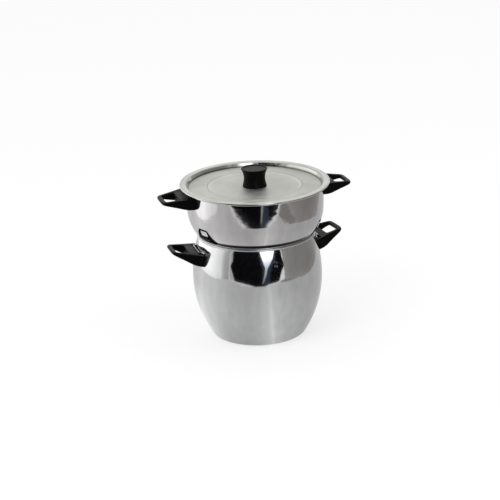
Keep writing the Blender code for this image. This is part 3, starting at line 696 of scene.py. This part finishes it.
def graded_glow(name, axis, start, end, stops, rise, code="#FFFFFF"):
    """A glow whose strength changes along a direction, from one place to another, and with the height."""
    material = glow(name, code, 1)
    share = add_node(material, "MapRange", Value=side_value(material, axis), From_Min=start, From_Max=end)
    height = add_node(material, "MapRange", Value=side_value(material, (0, 0, 1)), From_Min=0.0,
                      From_Max=GRADED_HEIGHT)
    across = add_node(material, "ValToRGB", {"stops": stops}, Fac=share)
    upward = add_node(material, "ValToRGB", {"stops": rise}, Fac=height)
    tinted = add_node(material, "Mix", {"data_type": "RGBA", "blend_type": "MULTIPLY"}, _0=1.0,
                      _6=across.outputs[0], _7=colour(code))
    link(material, material.node_tree.nodes["Principled BSDF"], Emission_Color=tinted.outputs[2],
         Emission_Strength=upward.outputs[0])
    return material


def table_painted_light():
    """The table, with its light painted on as a glow: lighter and darker in broad bands round the pot, and
    dimmer away from it.
    """
    material, shader = new_material("white_table_top")
    right, away = side_value(material, (1, 0, 0)), side_value(material, (0, 1, 0))
    toward = add_node(material, "Math", {"operation": "MULTIPLY"}, _0=away, _1=-1.0)
    angle = add_node(material, "Math", {"operation": "ARCTAN2"}, _0=right, _1=toward)
    share = add_node(material, "MapRange", Value=angle, From_Min=-pi, From_Max=pi)
    # Painted light: the table's glow in bands round the pot, and its dimming away from it
    bands = add_node(material, "ValToRGB", {"stops": TABLE_BANDS}, Fac=share)
    place = add_node(material, "TexCoord").outputs["Object"]
    far = add_node(material, "VectorMath", {"operation": "LENGTH"}, _0=place).outputs["Value"]
    fading = add_node(material, "MapRange", Value=far, From_Min=0.12, From_Max=0.45, To_Min=1.15, To_Max=0.8)
    link(material, shader, Base_Color=(0.3, 0.3, 0.3, 1), Roughness=0.8, Emission_Color=bands,
         Emission_Strength=fading)
    return material


def card(name, corner_points, material):
    """A flat stage card through its corners, seen only in reflections."""
    deselect_all()
    bpy.ops.mesh.primitive_circle_add(vertices=len(corner_points), fill_type="NGON")
    piece = bpy.context.object
    piece.name = piece.data.name = name
    for vertex, corner in zip(piece.data.vertices, corner_points):
        vertex.co = camera_side(*corner)
    dress(piece, material)
    piece.visible_camera = piece.visible_diffuse = piece.visible_shadow = False


def side_card(name, x, start, end, material):
    """An upright card at the left or right of the table, between two distances."""
    card(name, [(x, start, 0), (x, end, 0), (x, end, ROOM_TOP), (x, start, ROOM_TOP)], material)


def facing_card(name, places, y, material):
    """A card that faces the object from the camera's side, through (x, height) places."""
    card(name, [(x, y, height) for x, height in places], material)


def level_card(name, places, height, material):
    """A level card through (x, y) places."""
    card(name, [(x, y, height) for x, y in places], material)


def oblong(left, low, right, high):
    return [(left, low), (right, low), (right, high), (left, high)]


def build_table():
    level_card("table_top", oblong(ROOM_LEFT, TABLE_EDGE, ROOM_RIGHT, ROOM_BACK), TABLE_HEIGHT, table_painted_light())
    # Painted shade: a dimmer glowing patch over the table's right front
    level_card("table_right_shade", TABLE_SHADE, SHADE_HEIGHT, glow("table_shade_glow", "#FFFBF8", 0.26))


def build_room():
    """The wall in front with a dark doorway in it, and the lit left and shaded right walls."""
    # Painted light: the front wall's glow grades from dimmer at the left to brighter at the right
    wall = graded_glow(
        "room_front_wall", (1, 0, 0), ROOM_LEFT, ROOM_RIGHT,
        [(0, 0.5), (0.2, 0.6), (0.4, 0.7), (0.6, 0.75), (0.82, 0.8), (0.95, 0.95), (1, 0.9)],
        [(0, 1), (1, 1)])
    facing_card("room_front", oblong(ROOM_LEFT, 0, ROOM_RIGHT, ROOM_TOP), TABLE_EDGE - 2 * CARD_GAP, wall)
    facing_card("dark_doorway", DOORWAY, TABLE_EDGE, glow("dark_room", "#07070A", 1))
    lit = graded_glow(
        "lit_left_wall", (0, 1, 0), TABLE_EDGE, 0.3,
        [(0, 0.5), (0.16, 0.5), (0.26, 0.72), (0.31, 1.0), (0.42, 1.1), (0.7, 1.5), (1, 1.6)],
        [(0, 0.9), (0.1, 1), (1, 1)])
    side_card("left_side", ROOM_LEFT, ROOM_BACK, TABLE_EDGE, lit)
    shaded = graded_glow(
        "shaded_right_wall", (0, 1, 0), TABLE_EDGE, 0.6,
        [(0, 0.36), (0.3, 0.28), (0.6, 0.26), (0.8, 0.31), (1, 0.42)],
        [(0, 1.25), (0.06, 1.1), (0.15, 1), (1, 1)], "#FFFBF7")
    side_card("right_side", ROOM_RIGHT, TABLE_EDGE, ROOM_BACK, shaded)


def build_window():
    """The window's light in the doorway, the haze round it and four small lights beside it."""
    haze = graded_glow(
        "window_haze_glow", (1, 0, 0), 0, 0.5,
        [(0, 0.015), (0.3, 0.09), (0.6, 0.06), (1, 0.015)],
        [(0, 0.9), (0.35, 1.1), (0.5, 1.8), (0.8, 2.5)], "#A9BFEA")
    facing_card("window_haze", HAZE, TABLE_EDGE + CARD_GAP, haze)
    daylight = graded_glow(
        "window_glow", (1, 0, 0), 0, 0.44, [(0, 0.9), (0.5, 1), (1, 0.8)],
        [(0.05, 0.25), (0.14, 0.4), (0.22, 0.6), (0.34, 0.85), (0.44, 1.5), (0.55, 2.4), (1, 2.8)],
        "#F4F7FF")
    facing_card("window_strip", WINDOW, TABLE_EDGE + 2 * CARD_GAP, daylight)
    spark = glow("ceiling_spark", "#FFFFFF", 0.7)
    for number, (left, low) in enumerate(SPARKS):
        facing_card("spark_%d" % number, oblong(left, low, left + SPARK_WIDTH, low + SPARK_HEIGHT),
                    TABLE_EDGE + 2 * CARD_GAP, spark)


def place_lamps():
    aim = Vector((0, 0, 0.15))
    for name, place, size, power in (("key_lamp", (-1.6, -1.2, 2.2), 1.6, 14),
                                     ("fill_lamp", (1.8, -1.0, 1.6), 1.6, 5)):
        bpy.ops.object.light_add(type="AREA", location=place)
        lamp = bpy.context.object
        lamp.name = name
        lamp.data.size = size
        lamp.data.energy = power
        lamp.rotation_euler = (aim - Vector(place)).to_track_quat("-Z", "Y").to_euler()
        lamp.visible_glossy = False


# Put everything together

pot_steel = polished_steel("polished_pot_sheet", ("#C9C9CA", "#D4D5D4"), 0.00006, worn_rim=True)
steamer_steel = polished_steel("polished_steamer_sheet", ("#C5C3C4", "#D0CECE"), 0.00010, painted_joint_shade=True)
lid_steel, black, zinc, brass = satin_steel(), phenolic(), zinc_plate(), turned_brass()

pot = dress(spin_profile("pot_shell", pot_profile()), pot_steel)
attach(pot, "pot")
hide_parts("pot_body")

steamer = dress(steam_holes(spin_profile("steamer_shell", steamer_profile())), steamer_steel)
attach(steamer, "steamer")
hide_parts("steamer_body")

lid = dress(spin_profile("lid_shell", lid_profile()), lid_steel)
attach(lid, "lid")
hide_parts("lid_pan")

knob = dress(spin_profile("spool_knob", knob_profile(), KNOB_STEPS, closed=False), black)
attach(knob, "lid")
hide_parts("lid_knob")

for vessel in ("pot", "steamer"):
    model = loop_handle(vessel)
    for side in ("left", "right"):
        node_name = f"{vessel}_handle_{side}"
        handle = dress(place_handle(model, vessel, node_name), black)
        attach(handle, vessel)
        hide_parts(node_name)
    bpy.data.objects.remove(model, do_unlink=True)

for name, node in nodes.items():
    if node.hide_render:
        continue
    finish = brass if name == "knob_insert" else zinc
    for material_slot in node.material_slots:
        material_slot.link = "OBJECT"
        material_slot.material = finish

place_camera()
light_world()
build_floor()
build_table()
build_room()
build_window()
place_lamps()
